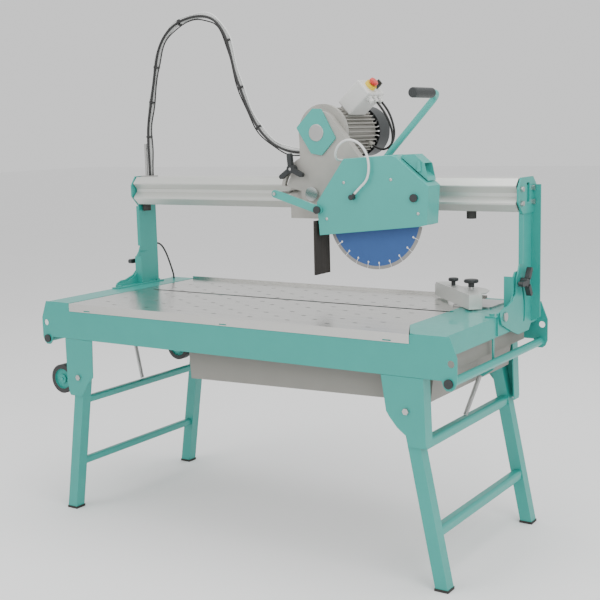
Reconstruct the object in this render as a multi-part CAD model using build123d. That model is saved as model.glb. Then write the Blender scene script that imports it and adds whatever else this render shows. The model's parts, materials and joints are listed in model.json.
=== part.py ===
from build123d import *
import math
import os

# Bridge saw for tiles and slabs: a table on folding legs, a tilting bridge, and a saw head
# that slides along the bridge and plunges through the table slot.
# Millimetres.  X runs along the table, Z is up.  Inside this file Y is measured from the
# front face of the apron; save() moves every piece back by ORIGIN_Y, so that the finished
# model stands centred on its origin.

# ---------------------------------------------------------------- driving dimensions
ORIGIN_Y = 396.5            # model origin, behind the front face of the apron
TABLE_Z = 758.0             # top of the stainless table
TABLE_LEFT = -675.0
TABLE_RIGHT = 600.0
TABLE_CORNER = 664.0        # the front right corner reaches further out
DEPTH = 700.0               # apron to apron
SHEET = 4.0                 # frame sheet
END_X = 778.0               # outer face of the end panels
APRON_LOW = 632.0
LEDGE_X = 500.0             # half length of the ledges that carry the tray's rim
TUBE_X = 788.0              # carry tubes
TUBE_Z = 625.0
TUBE_R = 13.0

BLADE_Y = 391.0             # plane of the blade, and of the tilt axis
BLADE_R = 175.0
BLADE_BORE_R = 12.7
TILT_Z = 755.0              # tilt axis, at the table surface
TILT_STUD_R = 160.0         # radius of the tilt slot about the tilt axis
TILT_STUD_ANGLE = 34.9      # place of the lock stud on that radius
PIN_R = 8.0

LEFT_PIVOT = (-648.0, 495.0)     # leg pivots, X and Z
RIGHT_PIVOT = (652.0, 530.0)
LEFT_SPLAY = 8.7
RIGHT_SPLAY = 11.5
LEG = 40.0                  # square leg tube
LEG_WALL = 2.0
LEG_Y = 6.0                 # front face of the front legs
LEG_PIN_R = 6.0

COLUMN_X = 785.0            # inner face of the columns
COLUMN_SHEET = 5.0
COLUMN_FRONT = 512.0
COLUMN_REAR = 612.0
COLUMN_FLANGE = 30.0

BEAM_Y = 562.0              # middle of the beam
BEAM_TOP = 1173.0
BEAM_LOW = 1068.0
BEAM_END = 785.0            # the beam runs from column to column
BEAM_PLATE = 6.0
BEAM_WALL = 6.0

HEAD_PIVOT = (69.0, 1122.0)      # X and Z of the head's plunge axis
MOTOR_AXIS = (92.0, 1328.0)
SPINDLE_AXIS = (338.0, 1056.0)
ARM_FRONT = 440.0
ARM_REAR = 472.0
MOTOR_R = 84.0
MOTOR_REAR = 800.0
GLAND_ANGLE = -30.0         # cable gland on the motor's underside, about the motor axis
CABLE_Y = 670.0
PULLEY_R = 36.0
RUN = 0.05                  # radial running clearance of shafts
GUARD_FRONT = 351.0
GUARD_REAR = 431.0
GUARD_WALL = 2.5
LOCK_R = 112.7              # radius of the depth lock slot about the head pivot
LOCK_ANGLE = 131.0
HANDLE_FOOT = (330.0, 456.0, 1225.1)
HANDLE_TOP = (538.0, 456.0, 1443.0)
HANDLE_R = 11.0
HANDLE_BOSS = 52.0
GRIP_FRONT = 278.0
LINK_FOOT = (-20.0, 1127.0)
LINK_HEAD = (150.0, 1076.0)

CARRIAGE_LEFT = -45.0
CARRIAGE_RIGHT = 302.0
ROLLER_R = 20.0
AXLE_R = 8.0

WHEEL_X = -742.0            # transport wheels
WHEEL_Z = 478.0
WHEEL_R = 52.0
WHEEL_AXLE_R = 6.0


# ---------------------------------------------------------------- building helpers
def save(name, shape):
    """Write one named piece, moved to the model origin."""
    export_step(Location((0, -ORIGIN_Y, 0)) * shape, "parts/" + name + ".step")


def block(x0, x1, y0, y1, z0, z1):
    """Box between two corners."""
    return Location(((x0 + x1) / 2, (y0 + y1) / 2, (z0 + z1) / 2)) * Box(x1 - x0, y1 - y0, z1 - z0)


def rod_x(y, z, r, x0, x1):
    """Round bar along X."""
    return Location(((x0 + x1) / 2, y, z), (0, 90, 0)) * Cylinder(r, x1 - x0)


def rod_y(x, z, r, y0, y1):
    """Round bar along Y."""
    return Location((x, (y0 + y1) / 2, z), (90, 0, 0)) * Cylinder(r, y1 - y0)


def rod_z(x, y, r, z0, z1):
    """Round bar along Z."""
    return Location((x, y, (z0 + z1) / 2)) * Cylinder(r, z1 - z0)


def face_xz(points):
    """Flat outline in X and Z, at Y = 0."""
    plane = Plane(origin=(0, 0, 0), x_dir=(1, 0, 0), z_dir=(0, -1, 0))
    return plane * make_face(Polyline(*points, close=True))


def plate_xz(points, y0, y1):
    """Plate with an outline in X and Z, between two values of Y."""
    return Location((0, y0, 0)) * extrude(face_xz(points), amount=y1 - y0, dir=(0, 1, 0))


def plate_yz(points, x0, x1):
    """Plate with an outline in Y and Z, between two values of X."""
    plane = Plane(origin=(x0, 0, 0), x_dir=(0, 1, 0), z_dir=(1, 0, 0))
    return extrude(plane * make_face(Polyline(*points, close=True)), amount=x1 - x0)


def plate_xy(points, z0, z1):
    """Plate with an outline in X and Y, between two heights."""
    return Location((0, 0, z0)) * extrude(make_face(Polyline(*points, close=True)), amount=z1 - z0)


def round_along(shape, axis, radius, pick=None):
    """Round the straight edges that lie along one axis."""
    edges = shape.edges().filter_by(axis)
    if pick is not None:
        edges = edges.filter_by(pick)
    return fillet(edges, radius)


def polar(centre, radius, degrees):
    """Point at a radius and an angle from a centre."""
    turn = math.radians(degrees)
    return (centre[0] + radius * math.cos(turn), centre[1] + radius * math.sin(turn))


def bar_between(a, b, half, y0, y1):
    """Plate with round ends of one radius, from point a to point b in X and Z."""
    length = math.hypot(b[0] - a[0], b[1] - a[1])
    side = (-(b[1] - a[1]) / length * half, (b[0] - a[0]) / length * half)
    corners = [(a[0] + side[0], a[1] + side[1]), (b[0] + side[0], b[1] + side[1])]
    corners += [(b[0] - side[0], b[1] - side[1]), (a[0] - side[0], a[1] - side[1])]
    middle = plate_xz(corners, y0, y1)
    return middle + rod_y(a[0], a[1], half, y0, y1) + rod_y(b[0], b[1], half, y0, y1)


def tapered_bar(a, ra, b, rb, y0, y1):
    """Plate bounded by two circles of different radius and their outer tangents."""
    angle = math.degrees(math.atan2(b[1] - a[1], b[0] - a[0]))
    lean = math.degrees(math.acos((ra - rb) / math.hypot(b[0] - a[0], b[1] - a[1])))
    corners = [polar(a, ra, angle + lean), polar(b, rb, angle + lean)]
    corners += [polar(b, rb, angle - lean), polar(a, ra, angle - lean)]
    return plate_xz(corners, y0, y1) + rod_y(a[0], a[1], ra, y0, y1) + rod_y(b[0], b[1], rb, y0, y1)


def ring_sector(centre, r0, r1, start, end, y0, y1):
    """Sector of a flat ring in X and Z, with square ends."""
    steps = 12
    turns = [start + (end - start) * i / steps for i in range(steps + 1)]
    outer = [polar(centre, r1 / math.cos(math.radians((end - start) / steps / 2)), t) for t in turns]
    wedge = plate_xz([centre] + outer, y0, y1)
    band = rod_y(centre[0], centre[1], r1, y0, y1) - rod_y(centre[0], centre[1], r0, y0, y1)
    return wedge & band


def arc_slot_xz(centre, radius, half, start, end, y0, y1):
    """Cutter for an arc slot with round ends, in X and Z."""
    cutter = ring_sector(centre, radius - half, radius + half, start, end, y0, y1)
    for turn in (start, end):
        x, z = polar(centre, radius, turn)
        cutter += rod_y(x, z, half, y0, y1)
    return cutter


def tube_path(points, radius):
    """Round tube along straight runs joined by tangent arcs as large as the runs allow."""
    runs = [(Vector(*b) - Vector(*a)) for a, b in zip(points, points[1:])]
    radii = []
    for before, after in zip(runs, runs[1:]):
        half_turn = math.radians(before.get_angle(after)) / 2
        radii.append(0.45 * min(before.length, after.length) / math.tan(half_turn))
    path = FilletPolyline(*points, radius=radii)
    start = Plane(origin=points[0], z_dir=runs[0].normalized())
    tube = sweep(start * Circle(radius), path=path)
    expected = math.pi * radius ** 2 * path.length
    print("  tube", round(path.length, 1), "mm long, radii", [round(r) for r in radii],
          "volume ratio", round(tube.volume / expected, 4))
    return tube


def both_sides(make):
    """The right hand piece from make(+1) and its mirror image from make(-1)."""
    return Compound(children=[make(1), make(-1)])


# ---------------------------------------------------------------- bench frame
def apron(y0, y1):
    """Long side sheet with an ear at each end that carries the carry tube."""
    half = [(0, APRON_LOW), (765, APRON_LOW), (772, 612), (780, 604), (796, 604), (806, 612),
            (813, 630), (813, 700), (790, 759), (676, 759), (676, 755.5), (0, 755.5)]
    plate = plate_xz(half, y0, y1)
    plate += mirror(plate, about=Plane.YZ)
    for side in (1, -1):
        plate -= rod_y(side * TUBE_X, TUBE_Z, TUBE_R + 0.1, y0 - 1, y1 + 1)
        plate -= rod_y(side * 794, 682, 11, y0 - 1, y1 + 1)
    ledge = (SHEET, 47.9) if y0 == 0 else (DEPTH - 47.9, DEPTH - SHEET)
    return plate + block(-LEDGE_X, LEDGE_X, ledge[0], ledge[1], 684, 687)


def spring_hanger_outline(side):
    """Strap from the end panel's lip down to the top of the leg spring."""
    if side > 0:
        return [(715.9, 580.5), (738.3, 572.1), (772, 596), (772, 697), (768, 697),
                (768, 606), (742, 588), (722, 592)]
    return [(-678.3, 547.7), (-701.8, 542.9), (-772, 575), (-772, 697), (-768, 697),
            (-768, 590), (-705, 562), (-684, 560)]


def end_panel(side, inner, front_inner):
    """Top plate of one end, with its downturned outer face, between the aprons."""
    y0 = SHEET
    y1 = DEPTH - SHEET
    corner = 128.0
    outline = [(inner, corner), (front_inner, y0), (END_X, y0), (END_X, y1), (inner, y1)]
    if inner == front_inner:
        outline = outline[1:]
    if side < 0:
        outline = [(-x, y) for x, y in outline]
    top = plate_xy(outline, 755.5, 759)
    edge = sorted([side * (END_X - SHEET), side * END_X])
    face = block(edge[0], edge[1], y0, y1, 696, 755.5)
    lip = sorted([side * (END_X - 24), side * (END_X - SHEET)])
    panel = top + face + block(lip[0], lip[1], y0, y1, 696, 699)
    panel += plate_xz(spring_hanger_outline(side), 345, 355)
    if side > 0:
        notch = block(inner - 1, inner + 16, BLADE_Y - 10, BLADE_Y + 10, 750, 760)
        panel -= notch
    return panel


def carry_tubes():
    """The two lifting tubes that run from ear to ear."""
    def one(side):
        outer = rod_y(side * TUBE_X, TUBE_Z, TUBE_R, -1, DEPTH + 1)
        return outer - rod_y(side * TUBE_X, TUBE_Z, TUBE_R - 2, -2, DEPTH + 2)
    return both_sides(one)


def tube_caps():
    """Plastic plugs in the four tube ends."""
    caps = []
    for side in (1, -1):
        for y0, y1, s0, s1 in ((-6, -1, -1, 14), (DEPTH + 1, DEPTH + 6, DEPTH - 14, DEPTH + 1)):
            disc = rod_y(side * TUBE_X, TUBE_Z, TUBE_R + 1, y0, y1)
            disc += rod_y(side * TUBE_X, TUBE_Z, TUBE_R - 2.2, s0, s1)
            caps.append(disc)
    return Compound(children=caps)


def leg_bracket(outline, flange, pivot, y_out, inward):
    """Hanging plate with an outer return flange, drilled for the leg pivot."""
    y0, y1 = sorted([y_out, y_out + inward * SHEET])
    plate = plate_xz(outline, y0, y1)
    plate = round_along(plate, Axis.Y, 9, lambda e: e.center().Z < 470)
    f0, f1 = sorted([y_out + inward * SHEET, y_out + inward * 44])
    wall = plate_xz(flange, f0, f1)
    return plate + wall - rod_y(pivot[0], pivot[1], LEG_PIN_R + RUN, y0 - 1, y1 + 1)


def left_bracket_outline():
    """Outline of the left bracket, X and Z."""
    return [(-704, 631), (-577, 631), (-582, 500), (-607, 476), (-620, 455), (-640, 427),
            (-694, 427), (-704, 470)]


def right_bracket_outline():
    """Outline of the right bracket, X and Z."""
    return [(707, 631), (570, 631), (586, 524), (598, 506), (622, 478), (654, 454), (656, 425),
            (715, 425)]


def leg_brackets():
    """The four leg brackets; the left ones also carry the transport wheel axles."""
    pieces = []
    left_flange = [(-704, 536), (-704, 631), (-700, 631), (-700, 536)]
    right_flange = [(707, 631), (715, 425), (711, 425), (703, 631)]
    for y_out, inward in ((0, 1), (DEPTH, -1)):
        left = leg_bracket(left_bracket_outline(), left_flange, LEFT_PIVOT, y_out, inward)
        e0, e1 = sorted([y_out + inward * 44, y_out + inward * (44 + SHEET)])
        strap = [(-704, 631), (-700, 631), (-700, 500), (-725, 460), (-742, 454), (-762, 466),
                 (-762, 490), (-742, 536), (-704, 560)]
        a0, a1 = sorted([y_out + inward * 8, y_out + inward * 44])
        left = left + plate_xz(strap, e0, e1) + rod_y(WHEEL_X, WHEEL_Z, WHEEL_AXLE_R, a0, a1)
        pieces.append(left)
        pieces.append(leg_bracket(right_bracket_outline(), right_flange, RIGHT_PIVOT, y_out, inward))
    return Compound(children=pieces)


def bolt_y(x, z, r, y_head, direction, length, head=7.0):
    """Hexagon bolt along Y; the head stands on y_head and the shank runs the given way."""
    h0, h1 = sorted([y_head, y_head - direction * head])
    hexagon = Location((x, h0, z)) * extrude(
        Plane(origin=(0, 0, 0), x_dir=(1, 0, 0), z_dir=(0, -1, 0)) * RegularPolygon(r * 1.75, 6),
        amount=h1 - h0, dir=(0, 1, 0))
    s0, s1 = sorted([y_head, y_head + direction * length])
    return hexagon + rod_y(x, z, r, s0, s1)


def pivot_bolts():
    """Leg pivot bolts and tilt pivot pins."""
    pieces = []
    for y_head, way in ((0, 1), (DEPTH, -1)):
        for pivot in (LEFT_PIVOT, RIGHT_PIVOT):
            pieces.append(bolt_y(pivot[0], pivot[1], LEG_PIN_R, y_head, way, 60))
    for side in (1, -1):
        x0, x1 = sorted([side * (END_X + COLUMN_SHEET), side * (COLUMN_X + COLUMN_SHEET + 1)])
        pin = rod_x(BLADE_Y, TILT_Z, PIN_R, x0, x1)
        c0, c1 = sorted([side * (COLUMN_X + COLUMN_SHEET + 1), side * (COLUMN_X + COLUMN_SHEET + 6)])
        pieces.append(pin + rod_x(BLADE_Y, TILT_Z, PIN_R + 6, c0, c1))
    return Compound(children=pieces)


def table_top():
    """Stainless table with a front flange, rear lip, blade slot and drain slots."""
    outline = [(TABLE_LEFT, -2), (TABLE_CORNER, -2), (TABLE_RIGHT, 128), (TABLE_RIGHT, DEPTH - 6),
               (TABLE_LEFT, DEPTH - 6)]
    sheet = make_face(Polyline(*outline, close=True))
    holes = []
    row_gap = 46.0
    pitch = 144.0
    for row in range(-8, 6):
        y = BLADE_Y + 23 + row * row_gap
        shift = 0 if row % 2 else pitch / 2
        for column in range(-5, 5):
            x = column * pitch + shift
            if TABLE_LEFT + 40 < x < TABLE_RIGHT - 30:
                holes.append((x, y))
    sheet -= Locations(*holes) * SlotOverall(18, 6)
    sheet -= Location(((TABLE_RIGHT - 620) / 2, BLADE_Y)) * Rectangle(TABLE_RIGHT + 620, 16)
    top = Location((0, 0, TABLE_Z - 2)) * extrude(sheet, amount=2)
    front = block(TABLE_LEFT, TABLE_CORNER, -2, -0.2, 730, TABLE_Z - 2)
    for x in (-591, 0, 592):
        front -= block(x - 14, x + 14, -3, 0, 733, 737)
    rear = block(TABLE_LEFT, TABLE_RIGHT, DEPTH - 8, DEPTH - 6, TABLE_Z, TABLE_Z + 10)
    return top + front + rear


def table_ribs():
    """Cross bearers under the table, notched below the blade slot."""
    ribs = []
    for x in (-560, -240, 110, 470):
        rib = block(x - 15, x + 15, SHEET, DEPTH - SHEET, 722, TABLE_Z - 2)
        rib -= block(x - 12.5, x + 12.5, 0, DEPTH, 725, TABLE_Z - 4.5)
        rib -= block(x - 16, x + 16, BLADE_Y - 20, BLADE_Y + 20, 738, TABLE_Z)
        ribs.append(rib)
    return Compound(children=ribs)


def water_tray():
    """Open tray: a shallow left part, a deep tub on the right and a sump under it."""
    wall = 3.0
    shallow = block(-690, 752, 56, 644, 640, 690)
    tub = plate_xz([(-196, 650), (-188, 528), (700, 549), (712, 650)], 62, 638)
    sump = plate_xz([(-14, 560), (-8, 516), (270, 514), (282, 560)], 180, 520)
    body = shallow + tub + sump
    inside = block(-690 + wall, 752 - wall, 56 + wall, 644 - wall, 640 + wall, 691)
    inside += plate_xz([(-193, 652), (-185, 531), (697, 552), (709, 652)], 62 + wall, 638 - wall)
    inside += plate_xz([(-11, 562), (-5, 519), (267, 517), (279, 562)], 180 + wall, 520 - wall)
    rim = block(-700, 762, 46, 654, 687, 690) - block(-689, 751, 57, 643, 680, 692)
    return body - inside + rim


def tray_fittings():
    """Hanger clips along the tray sides, its carrying grip and the drain plug."""
    clips = []
    for x in (-150, 60, 270, 480):
        for y0, y1 in ((48, 55.7), (644.3, 652)):
            clips.append(block(x - 9, x + 9, y0, y1, 640, 686.7))
    plug = rod_z(130, 350, 17, 505, 514.5) + rod_z(130, 350, 9, 499, 505)
    return Compound(children=clips + [plug])


def water_pump():
    """Submersible pump that stands in the sump."""
    pump = block(40, 110, 300, 380, 519, 590)
    pump = round_along(pump, Axis.Z, 16)
    return pump + rod_z(75, 340, 24, 590, 606) + rod_y(75, 598, 7, 350, 392)


def tilt_brackets():
    """Fixed angle brackets at the ends, with the studs that clamp the tilt."""
    def one(side):
        x0, x1 = sorted([side * END_X, side * (END_X + COLUMN_SHEET)])
        stud_y, stud_z = polar((BLADE_Y, TILT_Z), TILT_STUD_R, TILT_STUD_ANGLE)
        outline = [(356, 700), (560, 700), (575, 759), (572, 800), (558, 868), (543, 882),
                   (492, 882), (480, 868), (478, 812), (462, 792), (425, 778), (356, 770)]
        plate = plate_yz(outline, x0, x1)
        b0, b1 = sorted([side * (END_X - 30), side * (END_X + COLUMN_SHEET)])
        plate += block(b0, b1, 335, 600, 759.3, 763.3)
        f0, f1 = sorted([side * (END_X - 26), side * (END_X + COLUMN_SHEET)])
        plate += plate_xz([(f0, 763), (f1, 763), (f1, 868), (f0, 868)], 474, 478.5)
        plate += rod_x(stud_y, stud_z, 5, *sorted([side * (END_X + 1), side * 806]))
        for y in (356, 580):
            plate += rod_z(side * (END_X - 15), y, 8, 763, 769)
        return plate
    return both_sides(one)


def transport_wheel(y0):
    """Solid wheel on the axle stub."""
    wheel = rod_y(WHEEL_X, WHEEL_Z, WHEEL_R, y0, y0 + 30)
    for y in (y0 - 1, y0 + 23):
        hub = rod_y(WHEEL_X, WHEEL_Z, 16, y, y + 8)
        wheel -= rod_y(WHEEL_X, WHEEL_Z, 36, y, y + 8) - hub
    return wheel - rod_y(WHEEL_X, WHEEL_Z, WHEEL_AXLE_R + RUN, y0 - 1, y0 + 31)


def leg_spring(foot, top):
    """Closed outer shape of the helper spring between table frame and leg bar."""
    length = math.hypot(top[0] - foot[0], top[1] - foot[1])
    lean = math.degrees(math.atan2(top[0] - foot[0], top[1] - foot[1]))
    body = Location(((foot[0] + top[0]) / 2, 350, (foot[1] + top[1]) / 2), (0, lean, 0))
    return body * Cylinder(7.5, length)


# ---------------------------------------------------------------- legs
def leg_frame(pivot, splay, bars, bar_size):
    """Two square legs joined by two cross bars, leaning out from the pivot."""
    foot_drop = pivot[1] - 8
    slope = math.tan(math.radians(splay))
    half = LEG / 2 / math.cos(math.radians(splay))
    top_rise = 30.0
    sign = 1 if pivot[0] > 0 else -1

    def centre(z):
        return pivot[0] + sign * (pivot[1] - z) * slope

    pieces = []
    z_top = pivot[1] + top_rise
    z_low = pivot[1] - foot_drop
    for y0 in (LEG_Y, DEPTH - LEG_Y - LEG):
        outline = [(centre(z_top) - half, z_top), (centre(z_top) + half, z_top),
                   (centre(z_low) + half, z_low), (centre(z_low) - half, z_low)]
        inner = [(x + (LEG_WALL if i in (0, 3) else -LEG_WALL), z) for i, (x, z) in enumerate(outline)]
        inner = [(x, z + (1 if z == z_top else -1)) for x, z in inner]
        leg = plate_xz(outline, y0, y0 + LEG)
        leg -= plate_xz(inner, y0 + LEG_WALL, y0 + LEG - LEG_WALL)
        leg -= rod_y(pivot[0], pivot[1], LEG_PIN_R + RUN, y0 - 1, y0 + LEG + 1)
        pieces.append(leg)
    for z in bars:
        bar = block(centre(z) - bar_size / 2, centre(z) + bar_size / 2,
                    LEG_Y + LEG, DEPTH - LEG_Y - LEG, z - bar_size / 2, z + bar_size / 2)
        pieces.append(round_along(bar, Axis.Y, bar_size * 0.3))
    return Compound(children=pieces)


def leg_feet(pivot, splay):
    """Rubber caps on the leg ends."""
    sign = 1 if pivot[0] > 0 else -1
    slope = math.tan(math.radians(splay))
    half = LEG / 2 / math.cos(math.radians(splay))
    caps = []
    for y0 in (LEG_Y, DEPTH - LEG_Y - LEG):
        def at(z):
            return pivot[0] + sign * (pivot[1] - z) * slope
        outline = [(at(8) - half - 2, 0), (at(8) + half + 2, 0), (at(8) + half + 2, 8),
                   (at(8) - half - 2, 8)]
        plug = plate_xz([(at(8) - half + 2.4, 8), (at(8) + half - 2.4, 8), (at(26) + half - 2.4, 26),
                         (at(26) - half + 2.4, 26)], y0 + 2.4, y0 + LEG - 2.4)
        caps.append(plate_xz(outline, y0 - 2, y0 + LEG + 2) + plug)
    return Compound(children=caps)


# ---------------------------------------------------------------- bridge
def column(side):
    """Column with its boot shaped foot: pivot hole, arc slot and a rear flange."""
    x0, x1 = sorted([side * COLUMN_X, side * (COLUMN_X + COLUMN_SHEET)])
    outline = [(COLUMN_FRONT, 1150), (COLUMN_FRONT, 905), (500, 880), (488, 862), (484, 815),
               (462, 797), (418, 784), (391, 783), (368, 774), (360, 755), (372, 733), (450, 700),
               (500, 682), (588, 682), (COLUMN_REAR, 706), (COLUMN_REAR, 1150)]
    web = plate_yz(outline, x0, x1)
    web = round_along(web, Axis.X, 12, lambda e: e.center().Z < 860 and e.center().Y < 520)
    f0, f1 = sorted([side * COLUMN_X, side * (COLUMN_X + COLUMN_SHEET + COLUMN_FLANGE)])
    flange = plate_xz([(f0, 706), (f1, 724), (f1, 1150), (f0, 1150)] if side > 0 else
                      [(f0, 724), (f1, 706), (f1, 1150), (f0, 1150)], COLUMN_REAR - 5, COLUMN_REAR)
    lip = sorted([side * COLUMN_X, side * (COLUMN_X + 14)])
    front = block(lip[0], lip[1], COLUMN_FRONT, COLUMN_FRONT + 5, 905, 1060)
    piece = web + flange + front
    piece -= rod_x(BLADE_Y, TILT_Z, PIN_R + RUN, x0 - 1, x1 + 1)
    steps = 12
    start = TILT_STUD_ANGLE
    end = TILT_STUD_ANGLE - 47
    turns = [start + (end - start) * i / steps for i in range(steps + 1)]
    far = [polar((BLADE_Y, TILT_Z), TILT_STUD_R + 20, t) for t in turns]
    wedge = plate_yz([(BLADE_Y, TILT_Z)] + far, x0 - 1, x1 + 1)
    slot = wedge & (rod_x(BLADE_Y, TILT_Z, TILT_STUD_R + 5.6, x0 - 1, x1 + 1)
                    - rod_x(BLADE_Y, TILT_Z, TILT_STUD_R - 5.6, x0 - 1, x1 + 1))
    for turn in (start, end):
        y, z = polar((BLADE_Y, TILT_Z), TILT_STUD_R, turn)
        slot += rod_x(y, z, 5.6, x0 - 1, x1 + 1)
    return piece - slot


def beam_outline():
    """Outline of the beam in Y and Z: crown, two V ridges and the valley between them."""
    half = [(54, BEAM_TOP), (75, 1151), (75, 1147), (56, 1128), (56, 1117), (75, 1098), (75, 1092),
            (50, BEAM_LOW)]
    left = [(BEAM_Y - y, z) for y, z in half]
    right = [(BEAM_Y + y, z) for y, z in reversed(half)]
    return left + right


def bridge_beam():
    """Hollow extruded beam."""
    plane = Plane(origin=(-BEAM_END, 0, 0), x_dir=(0, 1, 0), z_dir=(1, 0, 0))
    outer = make_face(Polyline(*beam_outline(), close=True))
    section = outer - offset(outer, amount=-BEAM_WALL, kind=Kind.INTERSECTION)
    return extrude(plane * section, amount=2 * BEAM_END)


def beam_end_plates():
    """Six sided head plates that bolt the beam to the columns."""
    def one(side):
        inner = COLUMN_X + COLUMN_SHEET
        x0, x1 = sorted([side * inner, side * (inner + BEAM_PLATE)])
        outline = [(508, 1176), (604, 1176), (634, 1148), (634, 1092), (606, 1062), (518, 1062),
                   (483, 1100), (483, 1142)]
        plate = plate_yz(outline, x0, x1)
        plate -= block(x0 - 1, x1 + 1, 550, 572, 1098, 1158)
        plate -= block(x0 - 1, x1 + 1, COLUMN_REAR - 5.1, COLUMN_REAR + 0.1, 1050, 1150.2)
        for y, z in end_bolt_places():
            plate -= rod_x(y, z, 5.2, x0 - 1, x1 + 1)
        return plate
    return both_sides(one)


def end_bolt_places():
    """Y and Z of the four bolts at each beam end."""
    return [(BEAM_Y + dy, z) for dy in (-58, 34) for z in (1096, 1140)]


def beam_end_bolts():
    """Socket bolts through the head plates."""
    bolts = []
    for side in (1, -1):
        inner = COLUMN_X + COLUMN_SHEET + BEAM_PLATE
        for y, z in end_bolt_places():
            shank = rod_x(y, z, 5, *sorted([side * (inner - 6), side * inner]))
            bolts.append(shank + rod_x(y, z, 8.5, *sorted([side * inner, side * (inner + 9)])))
    return Compound(children=bolts)


def beam_bumpers():
    """Rubber end stops for the carriage, under the beam."""
    pieces = []
    for x in (612, -768):
        pieces.append(rod_z(x, 540, 16, BEAM_LOW - 26, BEAM_LOW - 0.3))
    return Compound(children=pieces)


def hose_mast():
    """Steel rod with a foot plate that holds the hoses up."""
    foot = block(-780, -726, 526, 566, BEAM_TOP, BEAM_TOP + 5)
    return foot + rod_z(-764, 545, 6, BEAM_TOP + 5, 1300)


def star_knob_x(side, y, z, x_base):
    """Three lobed clamping knob on an X axis."""
    b0, b1 = sorted([side * x_base, side * (x_base + 22)])
    knob = rod_x(y, z, 15, b0, b1)
    for turn in (60, 180, 300):
        dy, dz = polar((y, z), 30, turn)
        lobe = Location(((b0 + b1) / 2 + side * 6, dy, dz), (turn - 90, 0, 0))
        knob += lobe * Box(16, 16, 34)
        tip = polar((y, z), 44, turn)
        knob += rod_x(tip[0], tip[1], 8, (b0 + b1) / 2 + side * 6 - 8, (b0 + b1) / 2 + side * 6 + 8)
    return knob


def tilt_knob(side):
    """Knob on the tilt stud, outside the column."""
    y, z = polar((BLADE_Y, TILT_Z), TILT_STUD_R, TILT_STUD_ANGLE)
    knob = star_knob_x(side, y, z, COLUMN_X + COLUMN_SHEET + 2)
    return knob - rod_x(y, z, 5 + RUN, *sorted([side * 780, side * 807]))


# ---------------------------------------------------------------- carriage
def carriage_casting():
    """Saddle over the beam: front and rear cheeks joined above the beam at both ends."""
    front_outline = [(CARRIAGE_LEFT, 1034), (CARRIAGE_RIGHT, 1034), (CARRIAGE_RIGHT, 1216),
                     (286, 1216), (262, 1203), (236, 1178), (24, 1178), (12, 1216),
                     (CARRIAGE_LEFT, 1216)]
    front = plate_xz(front_outline, 474, 483)
    rear = plate_xz(front_outline, 641, 650)
    casting = front + rear
    for x0, x1 in ((CARRIAGE_LEFT, CARRIAGE_LEFT + 12), (CARRIAGE_RIGHT - 12, CARRIAGE_RIGHT)):
        casting += block(x0, x1, 474, 650, 1180, 1216)
    casting += block(90, 170, 474, 650, 1008, 1020)
    casting += block(90, 170, 474, 483, 1008, 1040) + block(90, 170, 641, 650, 1008, 1040)
    for x, z in roller_places():
        casting -= rod_y(x, z, AXLE_R, 470, 655)
    casting -= rod_y(HEAD_PIVOT[0], HEAD_PIVOT[1], 16, 470, 490)
    casting += block(CARRIAGE_LEFT, 16, 520, 556, 1216, 1226) + block(2, 16, 520, 556, 1226, 1280)
    casting += block(216, 236, 636, 655, 1178, 1194)
    return casting


def roller_places():
    """X and Z of the three rollers."""
    top = BEAM_TOP + ROLLER_R + 0.1
    low = BEAM_LOW - ROLLER_R - 0.1
    return [(-8, top), (268, top), (130, low)]


def carriage_shafts():
    """Roller axles, the head pivot shaft, the depth lock stud and the link stud."""
    pieces = [rod_y(x, z, AXLE_R, 474, 650) for x, z in roller_places()]
    pivot = rod_y(HEAD_PIVOT[0], HEAD_PIVOT[1], 16, 434, 483)
    pivot += rod_y(HEAD_PIVOT[0], HEAD_PIVOT[1], 24, 430, ARM_FRONT - 0.5)
    pieces.append(pivot)
    x, z = polar(HEAD_PIVOT, LOCK_R, LOCK_ANGLE)
    pieces.append(rod_y(x, z, 5, 412, 474))
    pieces.append(rod_y(LINK_FOOT[0], LINK_FOOT[1], 6, 334, 474))
    return Compound(children=pieces)


def roller(index):
    """Crowned steel roller with a running bore."""
    x, z = roller_places()[index]
    y0 = BEAM_Y - 42
    y1 = BEAM_Y + 42
    wheel = rod_y(x, z, ROLLER_R, y0, y1)
    wheel -= rod_y(x, z, ROLLER_R + 1, BEAM_Y - 20, BEAM_Y + 20) - rod_y(x, z, 14, BEAM_Y - 20, BEAM_Y + 20)
    return wheel - rod_y(x, z, AXLE_R + RUN, y0 - 1, y1 + 1)


def depth_knob():
    """Three lobed knob that locks the plunge."""
    x, z = polar(HEAD_PIVOT, LOCK_R, LOCK_ANGLE)
    knob = rod_y(x, z, 15, 414, 438)
    for turn in (95, 215, 335):
        dx, dz = polar((x, z), 30, turn)
        knob += Location((dx, 420, dz), (0, -turn, 0)) * Box(34, 16, 16)
        tip = polar((x, z), 46, turn)
        knob += rod_y(tip[0], tip[1], 8, 412, 428)
    return knob - rod_y(x, z, 5 + RUN, 410, 440)


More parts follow.
